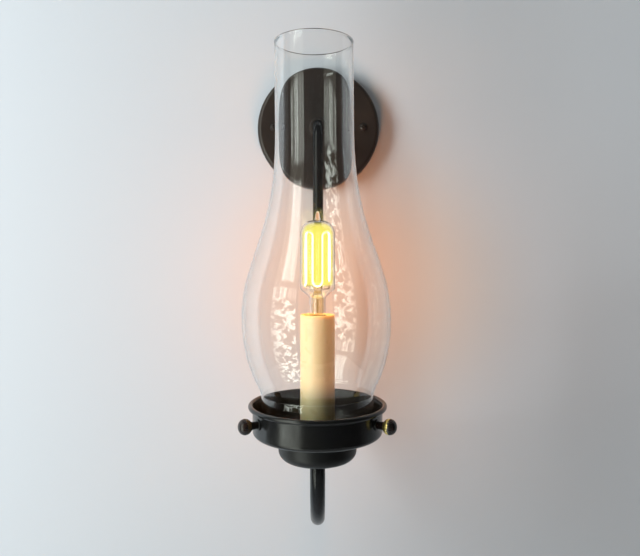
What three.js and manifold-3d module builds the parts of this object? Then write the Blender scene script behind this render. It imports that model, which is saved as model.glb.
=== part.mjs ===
// Hurricane wall sconce: a glass lamp chimney in a three-screw holder, carried in
// front of the wall by a bent pipe, with a candle socket and a squirrel-cage bulb.
// Millimetres, +Z up. The wall is the plane y = 0 and the lamp stands towards -Y.
// The origin is the centre of the wall plate's back.
import * as THREE from "three";
import { mergeVertices } from "three/addons/utils/BufferGeometryUtils.js";
import Module from "manifold-3d";

// Driving dimensions
const plateDiameter = 114.3;
const plateDepth = 14;
const mountScrewInset = 15.5;
const lampProjection = 190;
const lampDrop = 235;
const pipeDiameter = 10;
const pipeWall = 1.5;
const armStandOff = 38;
const elbowRadius = 14;
const hookRadius = 56;
const hookLead = 1.6;
const holderHeight = 20.1;
const holderRoom = 4.2;
const holderSheet = 1;
const cupDiameter = 52.8;
const cupHeight = 16.1;
const chimneyHeight = 254;
const chimneyBaseDiameter = 74;
const chimneyBulgeDiameter = 97;
const chimneyNeckDiameter = 51.6;
const chimneyWall = 2;
const candleHeight = 76.2;
const candleWall = 1.2;
const bulbBaseDiameter = 11.8;
const bulbDiameter = 23;
const bulbLength = 88.8;

// Clearances: between faces that rest on each other, around what passes through a
// hole, and how far a cutting tool runs past what it cuts.
const seatGap = 0.3;
const slip = 0.3;
const overrun = 1;

// Facets round a piece
const wideSides = 36;
const middleSides = 20;
const smallSides = 12;
const pipeSides = 12;
const wireSides = 6;
const bendStepDegrees = 15;

const quarterTurn = Math.PI / 2;
const fullTurn = Math.PI * 2;

const wasm = await Module();
wasm.setup();

function solid(geometry) {
  const bare = geometry.clone();
  bare.deleteAttribute("normal");
  bare.deleteAttribute("uv");
  const merged = mergeVertices(bare);
  const vertProperties = merged.attributes.position.array;
  const triVerts = new Uint32Array(merged.index.array);
  return new wasm.Manifold(new wasm.Mesh({ numProp: 3, vertProperties, triVerts }));
}

function surface(manifold) {
  const mesh = manifold.getMesh();
  const geometry = new THREE.BufferGeometry();
  geometry.setAttribute("position", new THREE.BufferAttribute(mesh.vertProperties, 3));
  geometry.setIndex(new THREE.BufferAttribute(mesh.triVerts, 1));
  geometry.computeVertexNormals();
  return geometry;
}

// A point of a turned outline
function point(radius, height) {
  return new THREE.Vector2(radius, height);
}

// A turned piece about Z. Its outline runs up the outside and down the inside, and
// either starts and ends on the axis or is closed here.
function turned(outline, sides) {
  const closed = outline[0].x === 0 ? outline : [...outline, outline[0]];
  return new THREE.LatheGeometry(closed, sides).rotateX(quarterTurn);
}

// A line moved sideways by a distance, to the left of the way it runs
function moved(line, distance) {
  return line.map((p, i) => {
    const along = point(0, 0);
    if (i > 0) along.add(p.clone().sub(line[i - 1]).normalize());
    if (i < line.length - 1) along.add(line[i + 1].clone().sub(p).normalize());
    along.normalize();
    return point(p.x - along.y * distance, p.y + along.x * distance);
  });
}

function rod(radius, length, sides) {
  return new THREE.CylinderGeometry(radius, radius, length, sides).rotateX(quarterTurn);
}

function round(radius) {
  return new THREE.Path().absarc(0, 0, radius, 0, fullTurn, true);
}

// A flat plate of a given outline, lying on z = 0, with round holes { x, radius }
function flatPlate(shape, holes, thickness, sides) {
  for (const { x, radius } of holes) {
    shape.holes.push(new THREE.Path().absarc(x, 0, radius, 0, fullTurn, true));
  }
  const options = { depth: thickness, bevelEnabled: false, curveSegments: sides / 2 };
  return new THREE.ExtrudeGeometry(shape, options);
}

function hexNut(acrossFlats, holeRadius, thickness) {
  const hexagon = new THREE.Shape();
  for (let i = 0; i < 6; i += 1) {
    const angle = (i * fullTurn) / 6;
    const corner = acrossFlats / Math.sqrt(3);
    const place = i === 0 ? "moveTo" : "lineTo";
    hexagon[place](corner * Math.cos(angle), corner * Math.sin(angle));
  }
  return flatPlate(hexagon, [{ x: 0, radius: holeRadius }], thickness, smallSides);
}

// A path given by stations { at, along }, so that a straight has one at each end and a
// bend has one every few degrees.
class StationPath extends THREE.Curve {
  constructor(stations) {
    super();
    this.stations = stations;
  }
  nearest(share) {
    return this.stations[Math.round(share * (this.stations.length - 1))];
  }
  getPointAt(share, target = new THREE.Vector3()) {
    return target.copy(this.nearest(share).at);
  }
  getTangentAt(share, target = new THREE.Vector3()) {
    return target.copy(this.nearest(share).along);
  }
}

function sweep(stations, shape, sides) {
  return new THREE.ExtrudeGeometry(shape, {
    steps: stations.length - 1,
    extrudePath: new StationPath(stations),
    curveSegments: sides / 2,
    bevelEnabled: false,
  });
}

// A round wire through points, each section square to the line between its neighbours
function wire(points, radius) {
  const stations = points.map((at, i) => {
    const before = points[Math.max(i - 1, 0)];
    const after = points[Math.min(i + 1, points.length - 1)];
    return { at, along: after.clone().sub(before).normalize() };
  });
  const section = new THREE.Shape().absarc(0, 0, radius, 0, fullTurn, false);
  return sweep(stations, section, wireSides);
}

// A quarter bend from one direction into another at right angles to it
function bend(start, from, to, radius) {
  const count = Math.round(90 / bendStepDegrees);
  const stations = [];
  for (let i = 0; i <= count; i += 1) {
    const turn = (i / count) * quarterTurn;
    const at = start.clone();
    at.addScaledVector(from, radius * Math.sin(turn));
    at.addScaledVector(to, radius * (1 - Math.cos(turn)));
    const along = from.clone().multiplyScalar(Math.cos(turn));
    along.addScaledVector(to, Math.sin(turn));
    stations.push({ at, along });
  }
  return stations;
}

// A slotted screw with a domed head that rests on z = 0
function roundHeadScrew(shankRadius, shankLength, headRadius, headHeight) {
  const outline = [point(0, -shankLength), point(shankRadius, -shankLength), point(shankRadius, 0)];
  const headSteps = 4;
  for (let i = 0; i < headSteps; i += 1) {
    const turn = (i / headSteps) * quarterTurn;
    outline.push(point(headRadius * Math.cos(turn), headHeight * Math.sin(turn)));
  }
  outline.push(point(0, headHeight));
  const slotWidthShare = 0.25;
  const slotDepthShare = 0.4;
  const slotWidth = headRadius * slotWidthShare;
  const slotDepth = headHeight * slotDepthShare;
  const blade = new THREE.BoxGeometry(2 * headRadius + overrun, slotWidth, slotDepth + overrun);
  blade.translate(0, 0, headHeight + (overrun - slotDepth) / 2);
  return surface(solid(turned(outline, smallSides)).subtract(solid(blade)));
}

// Finishes
function finish(color, roughness, metalness, extra = {}) {
  return new THREE.MeshStandardMaterial({ color, roughness, metalness, ...extra });
}
const bronze = finish(0x2a2622, 0.42, 0.35);
const steel = finish(0x9a9a98, 0.38, 0.9);
const brass = finish(0xb08a3c, 0.3, 0.9);
const clearGlass = finish(0xf4f6f4, 0.03, 0, { transparent: true, opacity: 0.25 });
const lampGlass = finish(0xfff4dc, 0.04, 0, { transparent: true, opacity: 0.3 });
const candleIvory = finish(0xd9c8a0, 0.5, 0);
const phenolic = finish(0x1a1614, 0.5, 0);
const glowingCarbon = finish(0xffc24a, 0.6, 0.2);
const blackInsulation = finish(0x161616, 0.6, 0);
const whiteInsulation = finish(0xd8d6cf, 0.6, 0);
const capPlastic = finish(0xb9651f, 0.55, 0);
const groundGreen = finish(0x2f6b3a, 0.4, 0.5);

const sconce = new THREE.Group();

// Everything at the wall is built with its local z as the distance from the wall and
// its local y upwards.
const wallGroup = new THREE.Group();
wallGroup.rotation.x = quarterTurn;
sconce.add(wallGroup);

// The lamp group stands on the lamp's axis, with z = 0 at the holder's underside.
const lampGroup = new THREE.Group();
lampGroup.position.set(0, -lampProjection, -lampDrop);
sconce.add(lampGroup);

function add(group, name, geometry, material, at = [0, 0, 0], turn = [0, 0, 0]) {
  const mesh = new THREE.Mesh(geometry, material.clone());
  mesh.name = name;
  mesh.position.set(...at);
  mesh.rotation.set(...turn);
  group.add(mesh);
}

const pipeRadius = pipeDiameter / 2;
const pipeHoleRadius = pipeRadius + slip;

// Wall plate: a pressed steel pan with a flat face and a rounded edge
const plateSheet = 1.5;
const plateEdgeRadius = 4;
const mountScrewRadius = 2.08;
const mountHoleRadius = mountScrewRadius + slip;
const plateRadius = plateDiameter / 2;
const mountScrewSpacing = plateDiameter - 2 * mountScrewInset;

function wallPlate() {
  const edgeSteps = 3;
  const edge = new THREE.Path();
  const centre = point(plateRadius - plateEdgeRadius, plateDepth - plateEdgeRadius);
  edge.absarc(centre.x, centre.y, plateEdgeRadius, 0, quarterTurn, false);
  const outside = [point(plateRadius, 0), ...edge.getPoints(edgeSteps)];
  const outline = [
    ...outside,
    point(pipeHoleRadius, plateDepth),
    point(pipeHoleRadius, plateDepth - plateSheet),
    ...moved(outside, plateSheet).reverse(),
  ];
  let pan = solid(turned(outline, wideSides));
  for (const side of [-1, 1]) {
    const drill = rod(mountHoleRadius, plateSheet + 2 * overrun, smallSides);
    drill.translate((side * mountScrewSpacing) / 2, 0, plateDepth - plateSheet / 2);
    pan = pan.subtract(solid(drill));
  }
  return surface(pan);
}
add(wallGroup, "wall_plate", wallPlate(), bronze);

// Crossbar: the steel strap on the wall box that the plate's screws run into
const strapSheet = 2;
const strapWidth = 19;
const strapEndMargin = 7;
const strapCentreHoleRadius = 5.2;
const strapSlotWidth = 5;
const strapWeb = 4.7;
const groundScrewRadius = 2;
const groundScrewOffset = 11;

// A slot between two places along the strap, the inner one nearer to its middle
function slot(side, inner, outer, width) {
  const ends = [side * (inner + width / 2), side * (outer - width / 2)];
  const path = new THREE.Path();
  path.absarc(Math.max(...ends), 0, width / 2, quarterTurn, -quarterTurn, true);
  path.absarc(Math.min(...ends), 0, width / 2, -quarterTurn, quarterTurn, true);
  return path;
}

function crossbar() {
  const end = mountScrewSpacing / 2 + strapEndMargin - strapWidth / 2;
  const strap = new THREE.Shape();
  strap.absarc(end, 0, strapWidth / 2, -quarterTurn, quarterTurn, false);
  strap.absarc(-end, 0, strapWidth / 2, quarterTurn, -quarterTurn, false);
  const slotInner = groundScrewOffset + groundScrewRadius + slip + strapWeb;
  const slotOuter = mountScrewSpacing / 2 - mountHoleRadius - strapWeb;
  for (const side of [-1, 1]) {
    strap.holes.push(slot(side, slotInner, slotOuter, strapSlotWidth));
  }
  const holes = [
    { x: 0, radius: strapCentreHoleRadius },
    { x: -mountScrewSpacing / 2, radius: mountHoleRadius },
    { x: mountScrewSpacing / 2, radius: mountHoleRadius },
    { x: groundScrewOffset, radius: groundScrewRadius + slip },
  ];
  return flatPlate(strap, holes, strapSheet, smallSides);
}
add(wallGroup, "crossbar", crossbar(), steel);

// Mounting screws: slotted round heads, through the plate into the crossbar
const mountHeadRadius = 3.6;
const mountHeadHeight = 2.6;
const mountScrewTwists = { left: 28, right: -17 };

for (const [place, side] of [["left", -1], ["right", 1]]) {
  const shank = plateDepth - strapSheet / 2 + seatGap;
  const screw = roundHeadScrew(mountScrewRadius, shank, mountHeadRadius, mountHeadHeight);
  const at = [(side * mountScrewSpacing) / 2, 0, plateDepth + seatGap];
  const twist = [0, 0, THREE.MathUtils.degToRad(mountScrewTwists[place])];
  add(wallGroup, `mounting_screw_${place}`, screw, bronze, at, twist);
}

// Ground screw: a hex head on the crossbar, beside the arm
const groundHeadAcross = 7;
const groundHeadHeight = 2.5;

function groundScrew() {
  const shankTop = strapSheet + seatGap + overrun;
  const shankBottom = seatGap;
  const shank = rod(groundScrewRadius, shankTop - shankBottom, smallSides);
  shank.translate(0, 0, (shankTop + shankBottom) / 2);
  const head = rod(groundHeadAcross / Math.sqrt(3), groundHeadHeight, 6);
  head.translate(0, 0, strapSheet + seatGap + groundHeadHeight / 2);
  return surface(solid(shank).add(solid(head)));
}
add(wallGroup, "ground_screw", groundScrew(), groundGreen, [groundScrewOffset, 0, 0]);

// Arm: one bent pipe, out of the plate, down along the wall, then round a hook and up
// through the cup and the holder
const nutThickness = 4;
const nutAcrossFlats = 14;
const washerThickness = 1;
const washerRadius = 8;
const pipeEndMargin = 0.5;
const collarRadius = 9;
const collarThickness = 5;
const collarChamfer = 1.5;
const bracketHubHeight = 5;

const cupBottom = -seatGap - cupHeight;
const holderNutSeat = holderSheet + seatGap;
const bracketSeat = holderNutSeat + nutThickness + seatGap;
const pipeTop = bracketSeat + bracketHubHeight - pipeEndMargin;
const washerBack = plateDepth - plateSheet - seatGap - washerThickness;
const armNutBack = washerBack - seatGap - nutThickness;
const pipeBack = armNutBack - pipeEndMargin;

// The pipe's centre line, moved sideways by offsetX for what runs inside it
function armStations(offsetX) {
  const out = new THREE.Vector3(0, -1, 0);
  const down = new THREE.Vector3(0, 0, -1);
  const up = new THREE.Vector3(0, 0, 1);
  const hookTop = cupBottom - hookLead - lampDrop;
  const start = new THREE.Vector3(offsetX, -pipeBack, 0);
  const elbow = new THREE.Vector3(offsetX, elbowRadius - armStandOff, 0);
  const rearBend = new THREE.Vector3(offsetX, -armStandOff, hookTop);
  const frontBend = new THREE.Vector3(offsetX, hookRadius - lampProjection, hookTop - hookRadius);
  const end = new THREE.Vector3(offsetX, -lampProjection, pipeTop - lampDrop);
  return [
    { at: start, along: out },
    ...bend(elbow, out, down, elbowRadius),
    ...bend(rearBend, down, out, hookRadius),
    ...bend(frontBend, out, up, hookRadius),
    { at: end, along: up },
  ];
}

function armPipe() {
  const ring = new THREE.Shape().absarc(0, 0, pipeRadius, 0, fullTurn, false);
  ring.holes.push(round(pipeRadius - pipeWall));
  return sweep(armStations(0), ring, pipeSides);
}
add(sconce, "arm_pipe", armPipe(), bronze);

const collarOutline = [
  point(collarRadius, 0),
  point(collarRadius, collarThickness - collarChamfer),
  point(collarRadius - collarChamfer, collarThickness),
  point(pipeHoleRadius, collarThickness),
  point(pipeHoleRadius, 0),
];
const armCollar = turned(collarOutline, middleSides);
add(wallGroup, "arm_collar", armCollar, bronze, [0, 0, plateDepth + seatGap]);

const washerShape = new THREE.Shape().absarc(0, 0, washerRadius, 0, fullTurn, false);
const washerHoles = [{ x: 0, radius: pipeHoleRadius }];
const armWasher = flatPlate(washerShape, washerHoles, washerThickness, smallSides);
add(wallGroup, "arm_washer", armWasher, steel, [0, 0, washerBack]);
const armNut = hexNut(nutAcrossFlats, pipeHoleRadius, nutThickness);
add(wallGroup, "arm_nut", armNut, steel, [0, 0, armNutBack]);

// Cup: the turned seat under the holder, on the pipe by its hub
const cupWall = 2;
const cupTaper = 0.8;
const cupCornerRadius = 6.4;
const cupHubRadius = 9;
const cupHubHeight = 8;

function holderCup() {
  const top = cupDiameter / 2;
  const low = top - cupTaper;
  const corner = new THREE.Path();
  const centre = point(low - cupCornerRadius, cupBottom + cupCornerRadius);
  corner.absarc(centre.x, centre.y, cupCornerRadius, -quarterTurn, 0, false);
  const cornerSteps = 3;
  const inner = new THREE.Path();
  inner.absarc(centre.x, centre.y, cupCornerRadius - cupWall, 0, -quarterTurn, true);
  const outline = [
    point(pipeHoleRadius, cupBottom),
    ...corner.getPoints(cornerSteps),
    point(top, -seatGap),
    point(top - cupWall, -seatGap),
    ...inner.getPoints(cornerSteps),
    point(cupHubRadius, cupBottom + cupWall),
    point(cupHubRadius, cupBottom + cupHubHeight),
    point(pipeHoleRadius, cupBottom + cupHubHeight),
  ];
  return turned(outline, wideSides);
}
add(lampGroup, "holder_cup", holderCup(), bronze);

// Chimney: blown glass, open at both ends, with a short collar, a bulge and a long
// straight neck. Its local z = 0 is its lower rim.
const collarHeight = 23.6;
const collarTaper = 0.5;
const bulgeHeight = 74.4;
const neckStart = 195.3;
const collarHandle = 6.8;
const bulgeLowHandle = 32.6;
const bulgeHighHandle = 39;
const neckHandle = 67.4;
const glassRimShare = 0.3;
const glassRimRound = chimneyWall * glassRimShare;
const chimneyBaseRadius = chimneyBaseDiameter / 2;
const chimneyCollarRadius = chimneyBaseRadius - collarTaper;
const chimneyNeckRadius = chimneyNeckDiameter / 2;
const chimneyBulgeRadius = chimneyBulgeDiameter / 2;

function chimney() {
  const line = new THREE.Path();
  line.moveTo(chimneyBaseRadius, glassRimRound);
  line.lineTo(chimneyCollarRadius, collarHeight);
  const bulge = point(chimneyBulgeRadius, bulgeHeight);
  const neck = point(chimneyNeckRadius, neckStart);
  const leave = point(chimneyCollarRadius, collarHeight + collarHandle);
  line.bezierCurveTo(leave.x, leave.y, bulge.x, bulge.y - bulgeLowHandle, bulge.x, bulge.y);
  line.bezierCurveTo(bulge.x, bulge.y + bulgeHighHandle, neck.x, neck.y - neckHandle, neck.x, neck.y);
  line.lineTo(chimneyNeckRadius, chimneyHeight - glassRimRound);
  const flankSteps = 7;
  const outer = line.getPoints(flankSteps);
  const outline = [
    point(chimneyBaseRadius - glassRimRound, 0),
    ...outer,
    point(chimneyNeckRadius - glassRimRound, chimneyHeight),
    point(chimneyNeckRadius - chimneyWall + glassRimRound, chimneyHeight),
    ...moved(outer, chimneyWall).reverse(),
    point(chimneyBaseRadius - chimneyWall + glassRimRound, 0),
  ];
  return turned(outline, wideSides);
}
const chimneySeat = holderSheet + seatGap;
add(lampGroup, "chimney", chimney(), clearGlass, [0, 0, chimneySeat]);

// Chimney holder: a spun dish with a rolled lip and three tapped screw bosses
const holderRadius = chimneyBaseRadius + holderRoom + holderSheet;
const holderCornerRadius = 3;
const lipRadius = 1.6;
const lipReach = 1.3;
const screwHeight = 11.2;
const screwRadius = 2.08;
const bossRadius = 3.4;
const bossDepth = 1.6;
const bossStandOut = 0.9;
const screwAngles = { left: 210, right: 330, rear: 90 };

function chimneyHolder() {
  const corner = point(holderRadius - holderCornerRadius, holderCornerRadius);
  const lip = point(holderRadius + lipReach, holderHeight - lipRadius);
  const outer = new THREE.Path();
  outer.moveTo(pipeHoleRadius, 0);
  outer.absarc(corner.x, corner.y, holderCornerRadius, -quarterTurn, 0, false);
  outer.lineTo(holderRadius, lip.y - lipRadius);
  outer.absarc(lip.x, lip.y, lipRadius, -quarterTurn, Math.PI, false);
  const inner = new THREE.Path();
  inner.moveTo(holderRadius - holderSheet, lip.y - lipRadius);
  inner.absarc(corner.x, corner.y, holderCornerRadius - holderSheet, 0, -quarterTurn, true);
  inner.lineTo(pipeHoleRadius, holderSheet);
  const cornerSteps = 3;
  const outline = [...outer.getPoints(cornerSteps), ...inner.getPoints(cornerSteps)];
  let dish = solid(turned(outline, wideSides));
  for (const degrees of Object.values(screwAngles)) {
    const length = bossDepth + holderSheet + bossStandOut;
    const boss = rod(bossRadius, length, smallSides);
    boss.translate(0, 0, holderRadius + bossStandOut - length / 2);
    const drill = rod(screwRadius + slip, 2 * (length + overrun), smallSides);
    drill.translate(0, 0, holderRadius);
    for (const tool of [boss, drill]) {
      tool.rotateY(quarterTurn).rotateZ(THREE.MathUtils.degToRad(degrees));
      tool.translate(0, 0, screwHeight);
    }
    dish = dish.add(solid(boss)).subtract(solid(drill));
  }
  return surface(dish);
}
add(lampGroup, "chimney_holder", chimneyHolder(), bronze);

const holderNut = hexNut(nutAcrossFlats, pipeHoleRadius, nutThickness);
add(lampGroup, "holder_nut", holderNut, steel, [0, 0, holderNutSeat]);

// Chimney screws: round-headed thumb screws whose tips bear on the chimney's collar
const knobRadius = 4.9;
const knobLength = 9;
const knobStandOff = 3.4;
const screwNeckRadius = 2.9;
const screwNeckLength = 1.6;

function chimneyScrew() {
  const gripShare = (screwHeight - chimneySeat) / collarHeight;
  const glass = THREE.MathUtils.lerp(chimneyBaseRadius, chimneyCollarRadius, gripShare);
  const tip = glass + seatGap;
  const neckAngle = Math.asin(screwNeckRadius / knobRadius);
  const neckStartRadius = holderRadius + knobStandOff - screwNeckLength;
  const centre = holderRadius + knobStandOff + (knobLength / 2) * Math.cos(neckAngle);
  const outline = [
    point(0, tip),
    point(screwRadius, tip),
    point(screwRadius, neckStartRadius),
    point(screwNeckRadius, neckStartRadius + screwNeckLength / 2),
  ];
  const knobSteps = 5;
  for (let i = 0; i < knobSteps; i += 1) {
    const turn = neckAngle + (i / knobSteps) * (Math.PI - neckAngle);
    outline.push(point(knobRadius * Math.sin(turn), centre - (knobLength / 2) * Math.cos(turn)));
  }
  outline.push(point(0, centre + knobLength / 2));
  return turned(outline, smallSides).rotateY(quarterTurn);
}

for (const [place, degrees] of Object.entries(screwAngles)) {
  const turn = [0, 0, THREE.MathUtils.degToRad(degrees)];
  add(lampGroup, `chimney_screw_${place}`, chimneyScrew(), bronze, [0, 0, screwHeight], turn);
}

// Socket: a bracket on the pipe carries an insulating body, which holds a brass screw
// shell and a sprung centre contact, all inside the candle cover
const bulbRimBelowCandle = 0.5;
const bulbBaseLength = 21;
const socketBelowCandle = 2.2;
const socketHeight = 36;
const socketWall = 1.3;
const shellSheet = 0.4;
const shellPitch = 2.54;
const shellThreadDepth = 0.2;
const contactSheet = 0.4;
const contactWidth = 3;
const contactRise = 1.8;
const eyeletRadius = 1.2;
const eyeletHeadRadius = 2.2;
const eyeletHeadHeight = 0.6;
const bracketSheet = 1;
const bracketLegWidth = 6;
const bracketHubRadius = 7.6;
const terminalHeight = 6;
const terminalPocket = 3;
const terminalFlatDepth = 2.8;
const terminalRadius = 1.4;
const terminalHeadRadius = 2.4;
const terminalHeadHeight = 1;

const candleSeat = holderSheet + seatGap;
const candleTop = candleSeat + candleHeight;
const bulbBaseRadius = bulbBaseDiameter / 2;
const bulbSeat = candleTop - bulbRimBelowCandle - bulbBaseLength;
const shellInner = bulbBaseRadius + slip;
const shellOuter = shellInner + shellSheet;
const socketBore = shellOuter + slip;
const socketRadius = socketBore + socketWall;
const socketTop = candleTop - socketBelowCandle;
const socketBottom = socketTop - socketHeight;
const contactTop = bulbSeat - seatGap;
const contactBottom = contactTop - contactRise;
const socketFloor = contactBottom - seatGap;
const legInner = socketRadius + slip;
const legOuter = legInner + bracketSheet;

// The bracket is a hub on the pipe, a foot, an upright leg and a shelf.
function socketBracket() {
  const hubOutline = [
    point(bracketHubRadius, bracketSeat),
    point(bracketHubRadius, bracketSeat + 2 * bracketSheet),
    point(pipeHoleRadius + bracketSheet, bracketSeat + bracketHubHeight),
    point(pipeHoleRadius, bracketSeat + bracketHubHeight),
    point(pipeHoleRadius, bracketSeat),
  ];
  const shelf = socketBottom - seatGap;
  const side = new THREE.Shape();
  side.moveTo(pipeHoleRadius + bracketSheet, bracketSeat);
  side.lineTo(legOuter, bracketSeat);
  side.lineTo(legOuter, shelf);
  side.lineTo(-eyeletHeadRadius, shelf);
  side.lineTo(-eyeletHeadRadius, shelf - bracketSheet);
  side.lineTo(legInner, shelf - bracketSheet);
  side.lineTo(legInner, bracketSeat + bracketSheet);
  side.lineTo(pipeHoleRadius + bracketSheet, bracketSeat + bracketSheet);
  const strap = new THREE.ExtrudeGeometry(side, { depth: bracketLegWidth, bevelEnabled: false });
  strap.translate(0, 0, -bracketLegWidth / 2).rotateX(quarterTurn).rotateZ(quarterTurn);
  const drill = rod(eyeletRadius + slip, 2 * (bracketSheet + overrun), smallSides);
  drill.translate(0, 0, shelf - bracketSheet / 2);
  const joined = solid(turned(hubOutline, middleSides)).add(solid(strap));
  return surface(joined.subtract(solid(drill)));
}
add(lampGroup, "socket_bracket", socketBracket(), steel);

const terminalFlat = socketRadius - terminalFlatDepth;

function socketBody() {
  const outline = [
    point(eyeletRadius + slip, socketBottom),
    point(socketRadius, socketBottom),
    point(socketRadius, socketTop),
    point(socketBore, socketTop),
    point(socketBore, socketFloor),
    point(eyeletRadius + slip, socketFloor),
  ];
  let body = solid(turned(outline, middleSides));
  for (const side of [-1, 1]) {
    const flat = new THREE.BoxGeometry(socketRadius, 2 * socketRadius, 2 * terminalHeight + overrun);
    const middle = socketBottom + terminalHeight - overrun / 2;
    flat.translate(side * (terminalFlat + socketRadius / 2), 0, middle);
    const drill = rod(terminalRadius + slip, 2 * terminalPocket, smallSides);
    drill.rotateY(quarterTurn).translate(side * terminalFlat, 0, socketBottom + terminalHeight);
    body = body.subtract(solid(flat)).subtract(solid(drill));
  }
  return surface(body);
}
add(lampGroup, "socket_body", socketBody(), phenolic);

function socketShell() {
  const bottom = contactTop + seatGap;
  const top = socketTop - seatGap;
  const count = Math.floor((top - bottom) / shellPitch);
  const outside = [point(shellOuter - shellThreadDepth, bottom)];
  for (let i = 0; i < count; i += 1) {
    outside.push(point(shellOuter, bottom + (i + 0.5) * shellPitch));
    outside.push(point(shellOuter - shellThreadDepth, bottom + (i + 1) * shellPitch));
  }
  outside.push(point(shellOuter - shellThreadDepth, top));
  return turned([...outside, point(shellInner, top), point(shellInner, bottom)], smallSides);
}
add(lampGroup, "socket_shell", socketShell(), brass);

// The contact is a folded strip, from the eyelet up to the bulb.
function socketContact() {
  const half = contactSheet / 2;
  const reach = shellInner - slip;
  const middle = (contactTop + contactBottom) / 2;
  const line = [
    point(-reach / 2, contactBottom + half),
    point(reach / 2, contactBottom + half),
    point(reach - contactSheet, middle),
    point(0, contactTop - half),
    point(-contactWidth / 2, contactTop - half),
  ];
  const strip = new THREE.Shape([...moved(line, -half), ...moved(line, half).reverse()]);
  const geometry = new THREE.ExtrudeGeometry(strip, { depth: contactWidth, bevelEnabled: false });
  return geometry.rotateX(quarterTurn).translate(0, contactWidth / 2, 0);
}
add(lampGroup, "socket_contact", socketContact(), brass);

const eyeletTop = socketBottom - 2 * seatGap - bracketSheet;
const eyeletOutline = [
  point(0, eyeletTop - eyeletHeadHeight),
  point(eyeletHeadRadius, eyeletTop - eyeletHeadHeight),
  point(eyeletHeadRadius, eyeletTop),
  point(eyeletRadius, eyeletTop),
  point(eyeletRadius, socketFloor),
  point(0, socketFloor),
];
add(lampGroup, "socket_eyelet", turned(eyeletOutline, smallSides), brass);

for (const [place, side, metal] of [["live", -1, brass], ["neutral", 1, steel]]) {
  const shank = terminalPocket - slip;
  const screw = roundHeadScrew(terminalRadius, shank, terminalHeadRadius, terminalHeadHeight);
  const at = [side * (terminalFlat + seatGap), 0, socketBottom + terminalHeight];
  add(lampGroup, `terminal_screw_${place}`, screw, metal, at, [0, side * quarterTurn, 0]);
}

// Candle cover: a plain sleeve that stands on the holder round the socket
const candleRoom = 0.6;
const candleRimRound = 0.5;
const candleInner = legOuter + candleRoom;
const candleRadius = candleInner + candleWall;

const candleOutline = [
  point(candleRadius, 0),
  point(candleRadius, candleHeight - candleRimRound),
  point(candleRadius - candleRimRound, candleHeight),
  point(candleInner, candleHeight),
  point(candleInner, 0),
];
const candleCover = turned(candleOutline, middleSides);
add(lampGroup, "candle_cover", candleCover, candleIvory, [0, 0, candleSeat]);

// Bulb: a tubular candle-base bulb. Its group's z = 0 is the foot of its contact.
const bulbGroup = new THREE.Group();
bulbGroup.position.z = bulbSeat;
lampGroup.add(bulbGroup);

const bulbContactHeight = 1.2;
const bulbContactRadius = 1.7;
const insulatorHeight = 2.2;
const baseSheet = 0.4;
const basePitch = 2.54;
const baseThreadDepth = 0.5;
const baseSkirt = 5;
const baseBottom = bulbContactHeight + insulatorHeight + 2 * seatGap;
const baseThreadRadius = bulbBaseRadius - baseThreadDepth;
const neckBottom = bulbBaseLength - baseSkirt + baseSheet + seatGap;

// The base's rolled thread is shown as rounds at its pitch, under a plain skirt.
function bulbBase() {
  const outside = [point(baseThreadRadius, baseBottom)];
  const count = Math.floor((bulbBaseLength - baseSkirt - baseBottom) / basePitch);
  for (let i = 0; i < count; i += 1) {
    outside.push(point(bulbBaseRadius, baseBottom + (i + 0.5) * basePitch));
    outside.push(point(baseThreadRadius, baseBottom + (i + 1) * basePitch));
  }
  const inner = baseThreadRadius - baseSheet;
  return turned(
    [
      ...outside,
      point(bulbBaseRadius, neckBottom - seatGap - baseThreadDepth),
      point(bulbBaseRadius, bulbBaseLength),
      point(bulbBaseRadius - baseSheet, bulbBaseLength),
      point(bulbBaseRadius - baseSheet, neckBottom - seatGap),
      point(inner, neckBottom - seatGap),
      point(inner, baseBottom + baseSheet),
      point(bulbContactRadius, baseBottom + baseSheet),
      point(bulbContactRadius, baseBottom),
    ],
    smallSides,
  );
}
add(bulbGroup, "bulb_base", bulbBase(), brass);

const insulatorOutline = [
  point(0, bulbContactHeight + seatGap),
  point(bulbContactRadius + seatGap, bulbContactHeight + seatGap),
  point(baseThreadRadius, baseBottom - seatGap),
  point(0, baseBottom - seatGap),
];
add(bulbGroup, "bulb_insulator", turned(insulatorOutline, smallSides), phenolic);

const contactFootShare = 0.6;
const bulbContactOutline = [
  point(0, 0),
  point(bulbContactRadius * contactFootShare, 0),
  point(bulbContactRadius, bulbContactHeight / 2),
  point(bulbContactRadius, bulbContactHeight),
  point(0, bulbContactHeight),
];
add(bulbGroup, "bulb_contact", turned(bulbContactOutline, smallSides), steel);

// Envelope: a neck in the base, a shoulder, a straight tube, a dome and a drawn tip
const bulbWall = 0.8;
const bulbNeckLength = 10.5;
const bulbShoulderHeight = 7;
const bulbDomeHeight = 9;
const bulbTipHeight = 6;
const bulbTipRadius = 2.2;
const tipWaistShare = 0.8;
const tipEndShare = 0.6;
const bulbRadius = bulbDiameter / 2;
const bulbNeckRadius = bulbBaseRadius - baseSheet - seatGap;
const shoulderBottom = bulbBaseLength + seatGap + bulbNeckLength;
const shoulderTop = shoulderBottom + bulbShoulderHeight;
const domeTop = bulbLength - bulbTipHeight;
const domeBottom = domeTop - bulbDomeHeight;

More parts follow.
